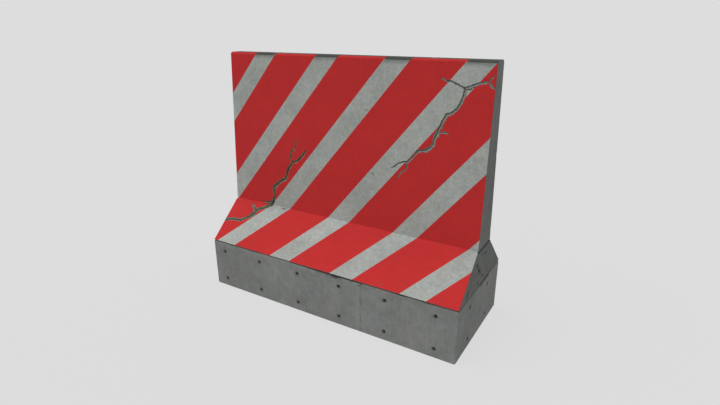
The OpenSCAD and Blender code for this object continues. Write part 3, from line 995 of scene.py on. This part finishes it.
def concrete(name, tone, shift):
    """Cast concrete: cloudy, streaked and stained, with pinholes, grime, moss and pale bloom."""
    look = Look(name, 0.92, specular=0.1)
    clouds = look.fit(look.noise(5, 3, 0.6, shift), 0.3, 0.7, 0.88, 1.1)
    blotches = look.fit(look.noise(28, 5, 0.65, shift), 0.3, 0.7, 0.88, 1.1)
    grain = look.noise(700, 2, 0.5)
    streaks = look.fit(look.noise(1, 4, 0.6, shift, (80, 80, 4)), 0.35, 0.65, 0.95, 1.04)
    stains = look.fit(look.noise(11, 6, 0.7, shift + 5), 0.55, 0.75, 1, 0.84)
    cells = look.node("TexVoronoi", {"Vector": look.place, "Scale": 150}).outputs["Distance"]
    pinholes = look.product(look.fit(cells, 0, 0.16, 1, 0), look.fit(look.noise(14, 2), 0.45, 0.6))
    patches = look.fit(look.noise(7, 4, 0.6, shift + 9), 0.35, 0.65)
    tint = look.drift(patches, tone, (1.015, 1, 0.97), (0.975, 1, 1.01))
    light = look.product(clouds, blotches, streaks, stains, look.fit(grain, 0.3, 0.7, 0.9, 1.08))
    body = look.shade(tint, look.product(light, look.fit(pinholes, 0, 1, 1, 0.5)))
    bloom = look.shade(BLOOM, look.product(blotches, look.fit(grain, 0.3, 0.7, 0.85, 1.1)))
    bloomed = look.mix(look.product(look.layer("bleach"), 0.75), body, bloom)
    moss = look.mix(look.fit(look.noise(65, 4, 0.75), 0.4, 0.6), WET_MOSS, DRY_MOSS)
    mossy = look.mix(look.product(look.layer("moss"), 0.85), bloomed, moss)
    grimy = look.mix(look.layer("dirt"), mossy, GRIME)
    height = look.math("ADD", look.product(grain, 0.4), look.noise(160, 4, 0.6))
    return look.finish(grimy, look.math("SUBTRACT", height, pinholes), 0.55, 1.2 * MM)


def masonry_paint(name, colour, mottle, shift):
    """Old matt masonry paint: patchy, thin in specks, stained and grimy."""
    look = Look(name, 0.8, specular=0.05)
    mottles = [look.fit(look.noise(*sizes, shift), 0.35, 0.65, 1 - mottle, 1 + mottle)
               for sizes in ((6, 3, 0.6), (45, 5, 0.7), (100, 4, 0.7))]
    grain = look.noise(600, 2, 0.5)
    patches = look.fit(look.noise(22, 4, 0.6, shift + 7), 0.42, 0.58)
    hue = look.drift(patches, colour, (1.02, 1, 0.98), (0.98, 1, 1.03))
    body = look.shade(hue, look.product(*mottles, look.fit(grain, 0.3, 0.7, 0.93, 1.06)))
    specks = look.fit(look.noise(75, 8, 0.8, shift + 3), 0.68, 0.76, 0, 0.6)
    thin = look.mix(specks, body, (0.16, 0.16, 0.15, 1))
    stains = look.fit(look.noise(19, 5, 0.7, shift + 11), 0.66, 0.74, 0, 0.35)
    stained = look.mix(stains, thin, (0.1, 0.1, 0.06, 1))
    grimy = look.mix(look.product(look.layer("dirt"), 0.8), stained, PAINT_GRIME)
    height = look.math("ADD", look.product(grain, 0.4), look.noise(120, 4, 0.6))
    return look.finish(grimy, height, 0.4, 0.8 * MM)


def plain_plastic(name):
    """Dusty grey plastic pipe with fine lengthwise marks."""
    look = Look(name, 0.55)
    dust = look.fit(look.noise(40, 5, 0.7), 0.4, 0.65)
    colour = look.mix(dust, (0.1, 0.103, 0.1, 1), (0.16, 0.157, 0.145, 1))
    return look.finish(colour, look.noise(30, 4, 0.6, 0, (20, 1, 20)), 0.2, 0.4 * MM)


def rusty_steel(name):
    """Ribbed reinforcing steel: mill scale going to rust."""
    look = Look(name, 0.75, 0.5)
    rust = look.fit(look.noise(45, 6, 0.7), 0.4, 0.6)
    colour = look.mix(rust, (0.075, 0.062, 0.055, 1), (0.26, 0.105, 0.045, 1))
    ribs = look.noise(1, 1, 0.3, 0, (150, 150, 150))
    return look.finish(colour, look.math("ADD", ribs, look.noise(400, 3, 0.6)), 0.7, 1.0 * MM)


def socket_steel(name):
    """Zinc-plated steel, dull and spotted with rust."""
    look = Look(name, 0.42, 0.9)
    rust = look.fit(look.noise(90, 7, 0.75), 0.56, 0.68)
    zinc = look.shade((0.52, 0.52, 0.5), look.fit(look.noise(30, 4), 0.3, 0.7, 0.8, 1.1))
    return look.finish(look.mix(rust, zinc, (0.2, 0.09, 0.045, 1)), look.noise(300, 4, 0.6), 0.3, 0.4 * MM)


def mortar(name):
    """Sandy mortar of the cage's spacer blocks."""
    look = Look(name, 0.9)
    colour = look.shade((0.3, 0.29, 0.26), look.fit(look.noise(50, 6, 0.7), 0.3, 0.7, 0.8, 1.15))
    return look.finish(colour, look.noise(500, 4, 0.7), 0.5, 0.8 * MM)


# ---- the scene ----

TONES = [(0.178, 0.184, 0.177), (0.125, 0.13, 0.125), (0.135, 0.139, 0.134)]
RED = (0.395, 0.0235, 0.0235)
PALE = (0.285, 0.3, 0.28)
WORLD = 0.723
FLOOR_DIFFUSE = 0.04
FLOOR_SIZE = 200
SUN_UP = 0.707
LAMP_ANGLE = math.radians(50)


def build_barrier():
    """The concrete lifts, their paint and the hardware cast into them."""
    skins = {"base_block": make_base(), "haunch_block": make_haunch(), "stem_wall": make_stem()}
    for k, (name, skin) in enumerate(skins.items()):
        layers = {"dirt": skin.dirt, "bleach": skin.bleach, "moss": skin.moss}
        look = concrete(name, TONES[k], 2.5 * k)
        triangles = np.concatenate(skin.triangles)
        mesh_object(f"cast_{name}", skin.points, triangles, look, "concrete", [name], layers)
    paints = [(1, "red", masonry_paint("red_paint", RED, 0.03, 0.0)),
              (2, "pale", masonry_paint("pale_paint", PALE, 0.09, 4.0))]
    for side, front in (("front", True), ("back", False)):
        surface = painted_side([skins["haunch_block"], skins["stem_wall"]], front)
        for colour, word, material in paints:
            paint_film(f"{side}_{word}_stripes", surface, colour, material, f"{word}_paint")
    plastic, zinc = plain_plastic("sleeve_plastic"), socket_steel("socket_steel")
    make_sleeves(plastic)
    for side, word in ((-1, "left"), (1, "right")):
        make_end_sockets(side, f"end_tie_sockets_{word}", plastic)
        make_lifting_socket(side, f"lifting_socket_{word}", zinc)


def dress_cad_nodes():
    """The materials of the reinforcement and spacers, which keep their CAD shapes."""
    steel, sand = rusty_steel("rebar_steel"), mortar("spacer_mortar")
    for name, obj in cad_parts.items():
        if obj.hide_render:
            continue
        is_mortar = "spacer_blocks" in name
        obj.data.materials.clear()
        obj.data.materials.append(sand if is_mortar else steel)


def make_floor():
    """A wide pale floor, just as bright as the world behind it."""
    mesh = bpy.data.meshes.new("floor")
    corners = [(x * FLOOR_SIZE, y * FLOOR_SIZE, 0) for x, y in ((-1, -1), (1, -1), (1, 1), (-1, 1))]
    mesh.from_pydata(corners, [], [(0, 1, 2, 3)])
    look = Look("floor", 1.0, specular=0.0)
    glow = WORLD - FLOOR_DIFFUSE * (WORLD + SUN_UP)
    grey = (FLOOR_DIFFUSE, FLOOR_DIFFUSE, FLOOR_DIFFUSE, 1)
    look.put(look.shader, {"Base Color": grey, "Emission Color": (1, 1, 1, 1), "Emission Strength": glow})
    mesh.materials.append(look.material)
    obj = add_object("floor", mesh)


def make_light():
    """Even light from all round, and a soft lamp from above, to the left and a little in front."""
    world = bpy.data.worlds.new("studio")
    world.use_nodes = True
    background = world.node_tree.nodes["Background"]
    background.inputs["Color"].default_value = (WORLD, WORLD, WORLD, 1)
    bpy.context.scene.world = world
    toward = Vector((-0.35, -0.191, SUN_UP))
    sun = bpy.data.lights.new("soft_lamp", "SUN")
    sun.energy = math.pi * toward.length
    sun.angle = LAMP_ANGLE
    obj = add_object("soft_lamp", sun)
    obj.rotation_euler = toward.to_track_quat("Z", "Y").to_euler()


def make_camera():
    """The camera: right of the front, and a little above."""
    azimuth, elevation = math.radians(31.17), math.radians(19.66)
    level = math.cos(elevation)
    back = Vector((math.sin(azimuth) * level, -math.cos(azimuth) * level, math.sin(elevation)))
    camera = bpy.data.cameras.new("camera")
    camera.lens = 24.455
    obj = add_object("camera", camera)
    obj.location = (1.3358, -2.1009, 1.4445)
    obj.rotation_euler = back.to_track_quat("Z", "Y").to_euler()
    bpy.context.scene.camera = obj


build_barrier()
dress_cad_nodes()
make_floor()
make_light()
make_camera()
bpy.context.scene.view_settings.view_transform = "Standard"
